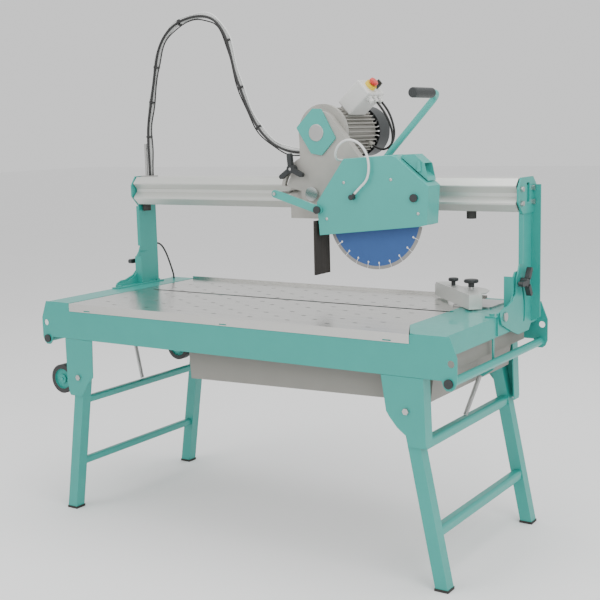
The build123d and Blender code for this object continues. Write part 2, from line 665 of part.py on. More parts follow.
# ---------------------------------------------------------------- saw head
def head_arm():
    """Cast belt housing between motor and spindle, with the pivot eye and lock sector."""
    arm = tapered_bar(MOTOR_AXIS, 74, SPINDLE_AXIS, 52, ARM_FRONT, ARM_REAR)
    arm += tapered_bar(MOTOR_AXIS, 74, HEAD_PIVOT, 46, ARM_FRONT, ARM_REAR)
    web = [MOTOR_AXIS, SPINDLE_AXIS, (HEAD_PIVOT[0] + 30, HEAD_PIVOT[1] - 20), HEAD_PIVOT]
    arm += plate_xz(web, ARM_FRONT, ARM_REAR)
    arm += ring_sector(HEAD_PIVOT, 40, 131, 90, 168, ARM_FRONT, 454)
    arm -= arc_slot_xz(HEAD_PIVOT, LOCK_R, 5.6, LOCK_ANGLE, LOCK_ANGLE + 33.2, ARM_FRONT - 1, 475)
    arm -= tapered_bar(MOTOR_AXIS, 46, SPINDLE_AXIS, 42, 446, 466)
    arm -= rod_y(MOTOR_AXIS[0], MOTOR_AXIS[1], 46, ARM_FRONT - 1, 467)
    arm -= rod_y(HEAD_PIVOT[0], HEAD_PIVOT[1], 16 + RUN, ARM_FRONT - 1, ARM_REAR + 1)
    arm += rod_y(SPINDLE_AXIS[0], SPINDLE_AXIS[1], 29, 418, ARM_FRONT)
    arm -= rod_y(SPINDLE_AXIS[0], SPINDLE_AXIS[1], 12 + RUN, 410, ARM_REAR + 1)
    arm += rod_y(MOTOR_AXIS[0], MOTOR_AXIS[1], 60, 466, ARM_REAR)
    arm -= rod_y(MOTOR_AXIS[0], MOTOR_AXIS[1], 14, 460, ARM_REAR + 1)
    arm += rod_y(GUARD_HOSE_ROUTE[0][0], GUARD_HOSE_ROUTE[0][2], 5.5, GUARD_HOSE_ROUTE[0][1], ARM_FRONT)
    return arm + handle_boss()


def handle_boss():
    """Round boss on the arm, in line with the handle tube."""
    run = Vector(*HANDLE_TOP) - Vector(*HANDLE_FOOT)
    lean = math.degrees(math.atan2(run.X, run.Z))
    start = Vector(*HANDLE_FOOT) - run.normalized() * HANDLE_BOSS
    middle = (start + Vector(*HANDLE_FOOT)) * 0.5
    return Location((middle.X, middle.Y, middle.Z), (0, lean, 0)) * Cylinder(17, HANDLE_BOSS)


def belt_cover():
    """Six sided cover plate over the motor pulley, with a plain round boss."""
    outline = [(78, 1409), (111, 1407), (167, 1308), (111, 1252), (70, 1259), (12, 1346)]
    cover = plate_xz(outline, 433, ARM_FRONT - 0.3)
    cover = round_along(cover, Axis.Y, 6)
    return cover


def motor_body():
    """Finned motor frame with its front flange."""
    x, z = MOTOR_AXIS
    flange = rod_y(x, z, 96, ARM_REAR + 0.2, 488)
    body = rod_y(x, z, 70, 488, 716)
    fins = 36
    for index in range(fins):
        turn = 360 * index / fins
        cx, cz = polar((x, z), (MOTOR_R + 68) / 2, turn)
        body += Location((cx, 610, cz), (0, -turn, 0)) * Box(MOTOR_R - 68, 196, 3.2)
    body += rod_y(x, z, 80, 488, 506)
    body += switch_frame() * block(-90, -54.2, -48, 48, -28, 14)
    gland_x, gland_z = polar((x, z), MOTOR_R, GLAND_ANGLE)
    gland = Location((gland_x, CABLE_Y, gland_z), (0, 90 - GLAND_ANGLE, 0)) * Cylinder(9, 28)
    return flange + body + gland


def fan_cover():
    """Fan cowl at the rear of the motor, with a ring of air slots."""
    x, z = MOTOR_AXIS
    cowl = rod_y(x, z, MOTOR_R + 5, 716.3, MOTOR_REAR)
    cowl = chamfer(cowl.edges().filter_by(GeomType.CIRCLE).sort_by(Axis.Y)[-1], 12)
    cowl -= rod_y(x, z, MOTOR_R + 2.5, 716, MOTOR_REAR - 14)
    for index in range(16):
        turn = 22.5 * index
        cx, cz = polar((x, z), 50, turn)
        cowl -= Location((cx, MOTOR_REAR - 6, cz), (0, -turn, 0)) * Box(36, 30, 5)
    return cowl


def switch_frame():
    """Location of the switch box: its long side leans along the line of the motor box."""
    return Location((176.5, 596, 1443), (0, -41.6, 0))


def switch_box():
    """Switch box with the stop button base, a rotary switch and three cable glands."""
    box = fillet(Box(108, 112, 66).edges(), 6)
    base = Location((54 + 6, -14, 0), (0, 90, 0)) * Cylinder(20, 14)
    switch = Location((54 + 8, 28, 0), (0, 90, 0)) * Cylinder(11, 18)
    body = box + base + switch + Location((54 + 21, 28, 0)) * Box(10, 6, 20)
    body -= Location((54 + 5, -14, 0), (0, 90, 0)) * Cylinder(8 + RUN, 24)
    for y in (-34, 0, 34):
        gland = Location((34, y, -33 - 10)) * Cylinder(9, 22)
        gland += Location((34, y, -33 - 3)) * extrude(RegularPolygon(12, 6), amount=5, both=True)
        body += gland
    return switch_frame() * body


def stop_button():
    """Mushroom stop button."""
    stem = Location((54 + 10.5, -14, 0), (0, 90, 0)) * Cylinder(8, 17)
    cap = Location((54 + 24, -14, 0), (0, 90, 0)) * Cylinder(16, 10)
    cap = fillet(cap.edges().filter_by(GeomType.CIRCLE).sort_by(Axis.X)[-1], 4)
    return switch_frame() * (stem + cap)


def motor_pulley():
    """Motor shaft end with its toothed pulley."""
    x, z = MOTOR_AXIS
    pulley = rod_y(x, z, PULLEY_R, 448, 464) + rod_y(x, z, 12, 446.5, 448)
    return pulley + rod_y(x, z, 12, 464, ARM_REAR)


def drive_belt():
    """Flat belt round both pulleys, with a hair of clearance."""
    gap = 0.3
    outer = bar_between(MOTOR_AXIS, SPINDLE_AXIS, PULLEY_R + gap + 4, 449, 463)
    return outer - bar_between(MOTOR_AXIS, SPINDLE_AXIS, PULLEY_R + gap, 448, 464)


def blade_spindle():
    """Spindle with driven pulley, the two blade flanges and the nut."""
    x, z = SPINDLE_AXIS
    shaft = rod_y(x, z, 12, 372, ARM_REAR)
    shaft += rod_y(x, z, PULLEY_R, 448, 464)
    shaft += rod_y(x, z, 45, BLADE_Y + 1.4, BLADE_Y + 9) + rod_y(x, z, 22, BLADE_Y + 9, 414)
    shaft += rod_y(x, z, 45, BLADE_Y - 9, BLADE_Y - 1.4)
    nut = Plane(origin=(x, BLADE_Y - 9, z), x_dir=(1, 0, 0), z_dir=(0, -1, 0)) * RegularPolygon(18, 6)
    shaft += extrude(nut, amount=14)
    return shaft + rod_y(x, z, BLADE_BORE_R - RUN, BLADE_Y - 1.4, BLADE_Y + 1.4)


def saw_blade():
    """Diamond blade: steel core with keyhole gullets between thicker rim segments."""
    x, z = SPINDLE_AXIS
    core = rod_y(x, z, BLADE_R - 9, BLADE_Y - 1.1, BLADE_Y + 1.1)
    rim = rod_y(x, z, BLADE_R, BLADE_Y - 1.4, BLADE_Y + 1.4)
    blade = core + (rim - rod_y(x, z, BLADE_R - 9, BLADE_Y - 2, BLADE_Y + 2))
    segments = 24
    for index in range(segments):
        turn = 360 * index / segments + 5
        cx, cz = polar((x, z), BLADE_R - 9, turn)
        blade -= Location((cx, BLADE_Y, cz), (0, -turn, 0)) * Box(22, 6, 3)
        hx, hz = polar((x, z), BLADE_R - 21, turn)
        blade -= rod_y(hx, hz, 3.6, BLADE_Y - 3, BLADE_Y + 3)
    return blade - rod_y(x, z, BLADE_BORE_R, BLADE_Y - 3, BLADE_Y + 3)


def guard_outline(shrink):
    """Outline of the guard in X and Z, pulled in by a wall on all sides but the bottom."""
    s = shrink
    return [(150 + s, 991 - s), (141 + s, 1100), (247 + s, 1243 - s * 0.7), (420 - s * 0.2, 1254 - s),
            (438 - s, 1249 - s), (553 - s, 1157 - s * 0.3), (546 - s, 1035 - s), (520, 1029 - s),
            (500, 1027 - s)]


def blade_guard():
    """Open bottomed guard with a cut-out at the rear for the spindle boss."""
    guard = plate_xz(guard_outline(0), GUARD_FRONT, GUARD_REAR)
    hollow = plate_xz(guard_outline(GUARD_WALL), GUARD_FRONT + GUARD_WALL, GUARD_REAR - GUARD_WALL)
    mouth = plate_xz([(152.5, 985), (152.5, 1000), (541, 1042), (541, 1020)],
                     GUARD_FRONT + GUARD_WALL, GUARD_REAR - GUARD_WALL)
    guard -= hollow + mouth
    guard -= rod_y(SPINDLE_AXIS[0], SPINDLE_AXIS[1], 29.6, GUARD_REAR - 5, GUARD_REAR + 1)
    bevel_edges = guard.edges().filter_by(
        lambda e: abs(e.center().Y - GUARD_FRONT) < 0.01 and e.center().Z > 1100 and e.center().X > 230)
    guard = chamfer(bevel_edges, 2.2)
    cap = rod_y(503, 1119, 13, GUARD_FRONT - 9, GUARD_FRONT)
    pin = rod_y(LINK_HEAD[0], LINK_HEAD[1], 5, GUARD_FRONT - 13, GUARD_FRONT)
    head = rod_y(LINK_HEAD[0], LINK_HEAD[1], 13, GUARD_FRONT - 20, GUARD_FRONT - 13)
    fitting = rod_y(281, 1119, 9, GUARD_FRONT - 18, GUARD_FRONT)
    nipple = Location((286.657, 339, 1124.657), (0, 45, 0)) * Cylinder(5.5, 16)
    return guard + cap + pin + head + fitting + nipple


def guard_link():
    """Flat link that keeps the guard level while the head plunges."""
    link = bar_between(LINK_FOOT, LINK_HEAD, 13, 339.5, 347.5)
    link -= rod_y(LINK_FOOT[0], LINK_FOOT[1], 6 + RUN, 330, 350)
    return link - rod_y(LINK_HEAD[0], LINK_HEAD[1], 9.5, 330, 350)


def splash_flap():
    """Thick bristly flap across the blade plane, hung on the guard's left wall."""
    outline = [(362, 1040), (440, 1040), (446, 985), (446, 868), (436, 856), (346, 856), (338, 866)]
    flap = plate_yz(outline, 126, 136)
    return flap + block(136, 142.5, 372, 410, 1016, 1034)


def tap_housing():
    """Sheet housing with the water tap, on the guard's sloping shoulder."""
    outline = [(446, 1246.5), (452, 1254), (493, 1255), (529, 1225), (541, 1172)]
    housing = plate_xz(outline, 372, 428)
    hollow = plate_xz([(480, 1225), (505, 1235), (540, 1222), (545, 1180)], 374, 426)
    stem = rod_y(512, 1206, 6, 366, 400)
    lever = plate_xz([(506, 1202), (518, 1202), (516, 1234), (508, 1234)], 366, 372)
    return (housing - hollow) + stem + lever


def head_handle():
    """Bent push handle on the belt housing."""
    end = (HANDLE_TOP[0], GRIP_FRONT + 22, HANDLE_TOP[2])
    path = FilletPolyline(HANDLE_FOOT, HANDLE_TOP, end, radius=30)
    run = Vector(*HANDLE_TOP) - Vector(*HANDLE_FOOT)
    start = Plane(origin=HANDLE_FOOT, z_dir=run.normalized())
    return sweep(start * Circle(HANDLE_R), path=path)


def handle_grip():
    """Black grip on the end of the handle."""
    grip = rod_y(HANDLE_TOP[0], HANDLE_TOP[2], 16, GRIP_FRONT, GRIP_FRONT + 130)
    grip = fillet(grip.edges().filter_by(GeomType.CIRCLE), 4)
    return grip - rod_y(HANDLE_TOP[0], HANDLE_TOP[2], HANDLE_R, GRIP_FRONT + 22, GRIP_FRONT + 140)


# ---------------------------------------------------------------- fence
FENCE_PIVOT = (608.0, 546.0)    # X and Y of the swivel pin
FENCE_ANGLE = -45.0
FENCE_LOW = 764.6
FENCE_TOP = 812.0
FENCE_PIN_R = 8.0


def fence_base():
    """Sliding foot of the mitre fence with its swivel pin."""
    base = block(566, 700, 486, 640, 759.4, FENCE_LOW - 0.4)
    base = round_along(base, Axis.Z, 12)
    return base + rod_z(FENCE_PIVOT[0], FENCE_PIVOT[1], FENCE_PIN_R, FENCE_LOW - 0.4, FENCE_TOP + 5)


def fence_arm():
    """Mitre bar with a slotted quadrant plate behind it, turning on the foot's pin."""
    bar = block(-203, 129, -56, -12, FENCE_LOW, FENCE_TOP)
    bar = chamfer(bar.edges().filter_by(Axis.Y).group_by(Axis.X)[0].sort_by(Axis.Z)[-1], 12)
    bar -= block(-188, 126, -53, -11, FENCE_LOW - 1, FENCE_TOP - 3)
    quadrant = plate_xy([(-60, -12.5), (118, -12.5), (112, 8), (60, 40), (20, 44), (-34, 30)],
                        FENCE_TOP - 3, FENCE_TOP)
    boss = rod_z(0, 0, 22, FENCE_LOW, FENCE_TOP - 2)
    web = block(-10, 10, -12.5, 0, FENCE_LOW, FENCE_TOP - 2)
    arm = bar + quadrant + boss + web
    arm -= rod_z(0, 0, FENCE_PIN_R + RUN, FENCE_LOW - 1, FENCE_TOP + 1)
    return fence_place() * arm


def fence_place():
    """Location of the fence's own frame: its X along the bar, its origin on the swivel pin."""
    return Location((FENCE_PIVOT[0], FENCE_PIVOT[1], 0), (0, 0, FENCE_ANGLE))


def fence_knobs():
    """Mushroom knobs: the large one clamps the swivel, the small one the bar."""
    knobs = []
    for x, y, r, low in ((0, 0, 24, FENCE_TOP + 5.2), (-93, -28, 17, FENCE_TOP + 0.2)):
        neck = rod_z(x, y, r * 0.42, low, low + 16)
        cap = rod_z(x, y, r, low + 14, low + 25)
        cap = fillet(cap.edges().filter_by(GeomType.CIRCLE), 4)
        knobs.append(fence_place() * (neck + cap))
    return Compound(children=knobs)


# ---------------------------------------------------------------- hoses and cables
HOSE_ROUTE = [(-742, 545, 1178), (-742, 545, 1238), (-745, 546, 1301), (-742, 547, 1372),
              (-724, 547, 1446), (-706, 547, 1524), (-691, 546, 1592), (-672, 545, 1656),
              (-633, 545, 1710), (-572, 545, 1748), (-494, 545, 1762), (-436, 545, 1758),
              (-390, 545, 1734), (-354, 545, 1682), (-336, 545, 1622), (-318, 545, 1546),
              (-286, 545, 1468), (-254, 544, 1400), (-216, 543, 1342), (-164, 541, 1296),
              (-108, 539, 1270), (-52, 538, 1260), (2, 538, 1260)]
HOSE_R = 11.0
GUARD_HOSE_ROUTE = [(199, 424, 1236), (199, 400, 1236), (202, 377, 1243), (210, 360, 1261),
                    (224, 351, 1282), (246, 345, 1298), (272, 342, 1305), (299, 340, 1300),
                    (324, 338, 1284),
                    (342, 337, 1258), (349, 337, 1228), (347, 338, 1198), (338, 339, 1172),
                    (309.285, 339, 1147.285), (292.314, 339, 1130.314)]
GUARD_HOSE_R = 4.0
MOTOR_CABLE_ROUTE = [(237.777, 630, 1425.193), (254.375, 630, 1406.498), (265, 637, 1382),
                     (270, 647, 1354), (271, 657, 1324), (262, 665, 1294), (240, 669, 1268),
                     (206.315, 670, 1262), (176.870, 670, 1279)]
SWITCH_CABLE_ROUTE = [(237.777, 596, 1425.193), (254.375, 596, 1406.498), (268, 602, 1382),
                      (277, 612, 1354), (280, 624, 1324), (275, 635, 1293), (259, 643, 1266),
                      (238, 645.5, 1243), (226, 645.5, 1220), (226, 645.5, 1194)]
MOTOR_CABLE_R = 4.0
COLUMN_CABLE_ROUTE = [(-802, 612, 905), (-802, 634, 905), (-799, 654, 893), (-792, 664, 872),
                      (-780, 666, 846), (-767, 664, 818), (-755, 662, 792), (-748, 661, 772),
                      (-748, 661, 759)]
COLUMN_CABLE_R = 3.5


def main():
    """Build every piece and write it to its own file."""
    os.makedirs("parts", exist_ok=True)
    save("side_aprons", Compound(children=[apron(0, SHEET), apron(DEPTH - SHEET, DEPTH)]))
    save("left_end_panel", end_panel(-1, -TABLE_LEFT + 0.5, -TABLE_LEFT + 0.5))
    save("right_end_panel", end_panel(1, TABLE_RIGHT + 0.5, TABLE_CORNER + 0.5))
    save("carry_tubes", carry_tubes())
    save("tube_caps", tube_caps())
    save("leg_brackets", leg_brackets())
    save("pivot_bolts", pivot_bolts())
    save("table_top", table_top())
    save("table_ribs", table_ribs())
    save("water_tray", water_tray())
    save("tray_fittings", tray_fittings())
    save("water_pump", water_pump())
    save("tilt_brackets", tilt_brackets())
    save("front_wheel", transport_wheel(12))
    save("rear_wheel", transport_wheel(DEPTH - 42))
    save("left_leg_spring", leg_spring((-664.4, 420), (-690, 545)))
    save("right_leg_spring", leg_spring((676, 440), (727, 576)))
    save("left_leg_frame", leg_frame(LEFT_PIVOT, LEFT_SPLAY, (405, 172), 25))
    save("left_leg_feet", leg_feet(LEFT_PIVOT, LEFT_SPLAY))
    save("right_leg_frame", leg_frame(RIGHT_PIVOT, RIGHT_SPLAY, (419, 167), 34))
    save("right_leg_feet", leg_feet(RIGHT_PIVOT, RIGHT_SPLAY))
    save("fence_base", fence_base())
    save("fence_arm", fence_arm())
    save("fence_knobs", fence_knobs())
    save("left_column", column(-1))
    save("right_column", column(1))
    save("bridge_beam", bridge_beam())
    save("beam_end_plates", beam_end_plates())
    save("beam_end_bolts", beam_end_bolts())
    save("beam_bumpers", beam_bumpers())
    save("hose_mast", hose_mast())
    save("left_tilt_knob", tilt_knob(-1))
    save("right_tilt_knob", tilt_knob(1))
    save("carriage_casting", carriage_casting())
    save("carriage_shafts", carriage_shafts())
    save("top_left_roller", roller(0))
    save("top_right_roller", roller(1))
    save("lower_roller", roller(2))
    save("depth_knob", depth_knob())
    save("head_arm", head_arm())
    save("belt_cover", belt_cover())
    save("motor_body", motor_body())
    save("fan_cover", fan_cover())
    save("switch_box", switch_box())
    save("stop_button", stop_button())
    save("motor_pulley", motor_pulley())
    save("drive_belt", drive_belt())
    save("blade_spindle", blade_spindle())
    save("saw_blade", saw_blade())
    save("blade_guard", blade_guard())
    save("guard_link", guard_link())
    save("splash_flap", splash_flap())
    save("tap_housing", tap_housing())
    save("head_handle", head_handle())
    save("handle_grip", handle_grip())
    save("hose_bundle", tube_path(HOSE_ROUTE, HOSE_R))
    save("guard_hose", tube_path(GUARD_HOSE_ROUTE, GUARD_HOSE_R))
    save("motor_cable", tube_path(MOTOR_CABLE_ROUTE, MOTOR_CABLE_R))
    save("switch_cable", tube_path(SWITCH_CABLE_ROUTE, MOTOR_CABLE_R))
    save("column_cable", tube_path(COLUMN_CABLE_ROUTE, COLUMN_CABLE_R))


main()
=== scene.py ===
"""Looks of the bridge saw: finishes for every CAD piece, and the flexible pieces built anew."""

import json
import logging
import math
from dataclasses import dataclass
from enum import Enum
from typing import Any, Iterable, Sequence

import bmesh
import bpy
import numpy as np
from mathutils import Matrix, Vector

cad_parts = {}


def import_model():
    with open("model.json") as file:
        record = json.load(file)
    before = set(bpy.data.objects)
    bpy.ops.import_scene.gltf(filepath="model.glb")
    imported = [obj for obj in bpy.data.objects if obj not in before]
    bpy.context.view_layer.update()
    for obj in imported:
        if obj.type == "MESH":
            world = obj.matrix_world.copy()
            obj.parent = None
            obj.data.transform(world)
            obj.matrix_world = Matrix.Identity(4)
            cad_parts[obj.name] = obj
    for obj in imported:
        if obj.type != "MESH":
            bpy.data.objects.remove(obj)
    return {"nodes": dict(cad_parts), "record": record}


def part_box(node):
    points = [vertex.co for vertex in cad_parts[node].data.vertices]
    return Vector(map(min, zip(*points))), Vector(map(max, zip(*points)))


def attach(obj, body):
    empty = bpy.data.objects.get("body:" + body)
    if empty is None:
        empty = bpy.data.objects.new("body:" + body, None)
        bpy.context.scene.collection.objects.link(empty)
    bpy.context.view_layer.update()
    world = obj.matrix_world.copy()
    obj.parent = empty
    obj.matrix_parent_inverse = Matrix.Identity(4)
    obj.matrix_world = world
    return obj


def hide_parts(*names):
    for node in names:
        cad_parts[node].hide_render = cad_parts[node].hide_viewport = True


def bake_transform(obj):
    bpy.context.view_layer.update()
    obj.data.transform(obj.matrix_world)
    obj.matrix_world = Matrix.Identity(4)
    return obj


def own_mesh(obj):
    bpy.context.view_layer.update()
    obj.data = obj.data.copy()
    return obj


frame: dict[str, Any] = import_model()

LOG = logging.getLogger("bridge_saw")
ORIGIN_Y = 396.5            # millimetres from the apron's front face to the row frame's origin
MIX_A, MIX_B, MIX_RESULT = 6, 7, 2      # colour sockets of a Mix node
ROUGHNESS_SPREAD = 0.07
BUMP_HEIGHT = 0.0005

Colour = tuple[float, float, float]
Point = tuple[float, float, float]


def bench(point: Sequence[float]) -> Point:
    """Row frame point of a bench point.

    Args:
        point: X, distance behind the apron, and height, in millimetres.

    Returns:
        The same place in the row frame, in metres.
    """
    return (point[0] / 1000.0, (point[1] - ORIGIN_Y) / 1000.0, point[2] / 1000.0)


class Axis(Enum):
    """Direction in which a finish has its lines."""

    NONE = (1.0, 1.0, 1.0)
    ALONG_X = (0.04, 1.0, 1.0)
    ALONG_Z = (1.0, 1.0, 0.05)


# ---------------------------------------------------------------- shared effect groups
class EffectGroups:
    """Node groups that several materials share; each is made once."""

    def __init__(self) -> None:
        self._made: dict[str, bpy.types.NodeTree] = {}

    def _new(self, name: str, ins: Iterable[tuple[str, str]], outs: Iterable[str]) -> bpy.types.NodeTree:
        """Empty group with its sockets.

        Args:
            name: The group's name.
            ins: Name and socket type of each input.
            outs: Names of the float outputs.

        Returns:
            The new node tree.
        """
        tree = bpy.data.node_groups.new(name, "ShaderNodeTree")
        for label, kind in ins:
            tree.interface.new_socket(label, in_out="INPUT", socket_type=kind)
        for label in outs:
            tree.interface.new_socket(label, in_out="OUTPUT", socket_type="NodeSocketFloat")
        tree.nodes.new("NodeGroupInput")
        tree.nodes.new("NodeGroupOutput")
        self._made[name] = tree
        return tree

    def grain(self) -> bpy.types.NodeTree:
        """Fine height, slow tone and smudge values from three sizes of noise."""
        if "surface_grain" in self._made:
            return self._made["surface_grain"]
        tree = self._new("surface_grain", [("Place", "NodeSocketVector"), ("Cells", "NodeSocketFloat")],
                         ["Height", "Tone", "Smudge"])
        source, sink = tree.nodes["Group Input"], tree.nodes["Group Output"]
        fine = tree.nodes.new("ShaderNodeTexNoise")
        fine.inputs["Detail"].default_value = 3.0
        tree.links.new(source.outputs["Place"], fine.inputs["Vector"])
        tree.links.new(source.outputs["Cells"], fine.inputs["Scale"])
        tree.links.new(fine.outputs["Fac"], sink.inputs["Height"])
        for label, share, detail in (("Tone", 0.02, 4.0), ("Smudge", 0.06, 5.0)):
            size = tree.nodes.new("ShaderNodeMath")
            size.operation = "MULTIPLY"
            size.inputs[1].default_value = share
            noise = tree.nodes.new("ShaderNodeTexNoise")
            noise.inputs["Detail"].default_value = detail
            tree.links.new(source.outputs["Cells"], size.inputs[0])
            tree.links.new(size.outputs[0], noise.inputs["Scale"])
            tree.links.new(source.outputs["Place"], noise.inputs["Vector"])
            tree.links.new(noise.outputs["Fac"], sink.inputs[label])
        return tree

    def radial(self) -> bpy.types.NodeTree:
        """Mask that is one further than a radius from an axis along Y."""
        if "radial_mask" in self._made:
            return self._made["radial_mask"]
        tree = self._new("radial_mask", [("Place", "NodeSocketVector"), ("Centre", "NodeSocketVector"),
                                         ("Radius", "NodeSocketFloat")], ["Mask"])
        source, sink = tree.nodes["Group Input"], tree.nodes["Group Output"]
        offset = tree.nodes.new("ShaderNodeVectorMath")
        offset.operation = "SUBTRACT"
        flat = tree.nodes.new("ShaderNodeVectorMath")
        flat.operation = "MULTIPLY"
        flat.inputs[1].default_value = (1.0, 0.0, 1.0)
        length = tree.nodes.new("ShaderNodeVectorMath")
        length.operation = "LENGTH"
        test = tree.nodes.new("ShaderNodeMath")
        test.operation = "GREATER_THAN"
        tree.links.new(source.outputs["Place"], offset.inputs[0])
        tree.links.new(source.outputs["Centre"], offset.inputs[1])
        tree.links.new(offset.outputs[0], flat.inputs[0])
        tree.links.new(flat.outputs[0], length.inputs[0])
        tree.links.new(length.outputs["Value"], test.inputs[0])
        tree.links.new(source.outputs["Radius"], test.inputs[1])
        tree.links.new(test.outputs[0], sink.inputs["Mask"])
        return tree

    def past_plane(self) -> bpy.types.NodeTree:
        """Mask that is one on the far side of a plane."""
        if "past_plane" in self._made:
            return self._made["past_plane"]
        tree = self._new("past_plane", [("Place", "NodeSocketVector"), ("Point", "NodeSocketVector"),
                                        ("Normal", "NodeSocketVector")], ["Mask"])
        source, sink = tree.nodes["Group Input"], tree.nodes["Group Output"]
        offset = tree.nodes.new("ShaderNodeVectorMath")
        offset.operation = "SUBTRACT"
        along = tree.nodes.new("ShaderNodeVectorMath")
        along.operation = "DOT_PRODUCT"
        test = tree.nodes.new("ShaderNodeMath")
        test.operation = "GREATER_THAN"
        test.inputs[1].default_value = 0.0
        tree.links.new(source.outputs["Place"], offset.inputs[0])
        tree.links.new(source.outputs["Point"], offset.inputs[1])
        tree.links.new(offset.outputs[0], along.inputs[0])
        tree.links.new(source.outputs["Normal"], along.inputs[1])
        tree.links.new(along.outputs["Value"], test.inputs[0])
        tree.links.new(test.outputs[0], sink.inputs["Mask"])
        return tree


@dataclass(frozen=True)
class Region:
    """Part of a piece in a second colour: outside a radius, or past all the planes."""

    colour: Colour
    centre: Point | None = None
    radius: float = 0.0
    planes: tuple[tuple[Point, Point], ...] = ()


@dataclass(frozen=True)
class Finish:
    """One material: its colour, its gloss and its grain."""

    name: str
    colour: Colour
    metallic: float = 0.0
    roughness: float = 0.5
    cells: float = 900.0
    depth: float = 0.08
    tone: float = 0.06
    coat: float = 0.0
    lines: Axis = Axis.NONE
    regions: tuple[Region, ...] = ()

    def build(self, groups: EffectGroups) -> bpy.types.Material:
        """Makes the Blender material.

        Args:
            groups: The shared effect groups.

        Returns:
            The material with its nodes linked.
        """
        material = bpy.data.materials.new(self.name)
        material.use_nodes = True
        nodes, links = material.node_tree.nodes, material.node_tree.links
        shader = nodes["Principled BSDF"]
        shader.inputs["Metallic"].default_value = self.metallic
        shader.inputs["Coat Weight"].default_value = self.coat
        place = nodes.new("ShaderNodeTexCoord")
        stretch = nodes.new("ShaderNodeMapping")
        stretch.inputs["Scale"].default_value = self.lines.value
        links.new(place.outputs["Object"], stretch.inputs["Vector"])
        grain = nodes.new("ShaderNodeGroup")
        grain.node_tree = groups.grain()
        grain.inputs["Cells"].default_value = self.cells
        links.new(stretch.outputs["Vector"], grain.inputs["Place"])
        tone = nodes.new("ShaderNodeMix")
        tone.data_type = "RGBA"
        darker = tuple(c * (1.0 - self.tone) for c in self.colour)
        lighter = tuple(min(1.0, c * (1.0 + self.tone)) for c in self.colour)
        tone.inputs[MIX_A].default_value = darker + (1.0,)
        tone.inputs[MIX_B].default_value = lighter + (1.0,)
        links.new(grain.outputs["Tone"], tone.inputs[0])
        result = tone.outputs[MIX_RESULT]
        for region in self.regions:
            second = nodes.new("ShaderNodeMix")
            second.data_type = "RGBA"
            second.inputs[MIX_B].default_value = region.colour + (1.0,)
            links.new(result, second.inputs[MIX_A])
            links.new(self._mask(region, material, place, groups), second.inputs[0])
            result = second.outputs[MIX_RESULT]
        links.new(result, shader.inputs["Base Color"])
        gloss = nodes.new("ShaderNodeMapRange")
        gloss.inputs["To Min"].default_value = max(0.02, self.roughness - ROUGHNESS_SPREAD)
        gloss.inputs["To Max"].default_value = min(1.0, self.roughness + ROUGHNESS_SPREAD)
        links.new(grain.outputs["Smudge"], gloss.inputs["Value"])
        links.new(gloss.outputs["Result"], shader.inputs["Roughness"])
        bump = nodes.new("ShaderNodeBump")
        bump.inputs["Strength"].default_value = self.depth
        bump.inputs["Distance"].default_value = BUMP_HEIGHT
        links.new(grain.outputs["Height"], bump.inputs["Height"])
        links.new(bump.outputs["Normal"], shader.inputs["Normal"])
        return material

    @staticmethod
    def _mask(region: Region, material: bpy.types.Material, place: bpy.types.Node,
              groups: EffectGroups) -> bpy.types.NodeSocket:
        """Socket that is one inside the region.

        Args:
            region: The region to mask.
            material: The material that gets the nodes.
            place: Its texture coordinate node.
            groups: The shared effect groups.

        Returns:
            The output socket of the mask.
        """
        nodes, links = material.node_tree.nodes, material.node_tree.links
        if region.centre is not None:
            mask = nodes.new("ShaderNodeGroup")
            mask.node_tree = groups.radial()
            mask.inputs["Centre"].default_value = region.centre
            mask.inputs["Radius"].default_value = region.radius
            links.new(place.outputs["Object"], mask.inputs["Place"])
            return mask.outputs["Mask"]
        socket: bpy.types.NodeSocket | None = None
        for point, normal in region.planes:
            side = nodes.new("ShaderNodeGroup")
            side.node_tree = groups.past_plane()
            side.inputs["Point"].default_value = point
            side.inputs["Normal"].default_value = normal
            links.new(place.outputs["Object"], side.inputs["Place"])
            if socket is None:
                socket = side.outputs["Mask"]
                continue
            both = nodes.new("ShaderNodeMath")
            both.operation = "MULTIPLY"
            links.new(socket, both.inputs[0])
            links.new(side.outputs["Mask"], both.inputs[1])
            socket = both.outputs[0]
        return socket


TEAL: Colour = (0.022, 0.305, 0.262)
GUARD_TEAL: Colour = (0.05, 0.37, 0.325)
BLACK: Colour = (0.022, 0.026, 0.027)
GUARD_FACE: Point = bench((0.0, 350.6, 0.0))
LEAN = math.radians(41.6)
BOX_UP: Point = (math.cos(LEAN), 0.0, math.sin(LEAN))
BOX_FACE: Point = bench((176.5 + 54.4 * math.cos(LEAN), 596.0, 1443.0 + 54.4 * math.sin(LEAN)))
BOX_SPLIT: Point = bench((176.5, 606.0, 1443.0))
WHEEL_CENTRE: Point = bench((-742.0, 27.0, 478.0))
BLADE_CENTRE: Point = bench((338.0, 391.0, 1056.0))

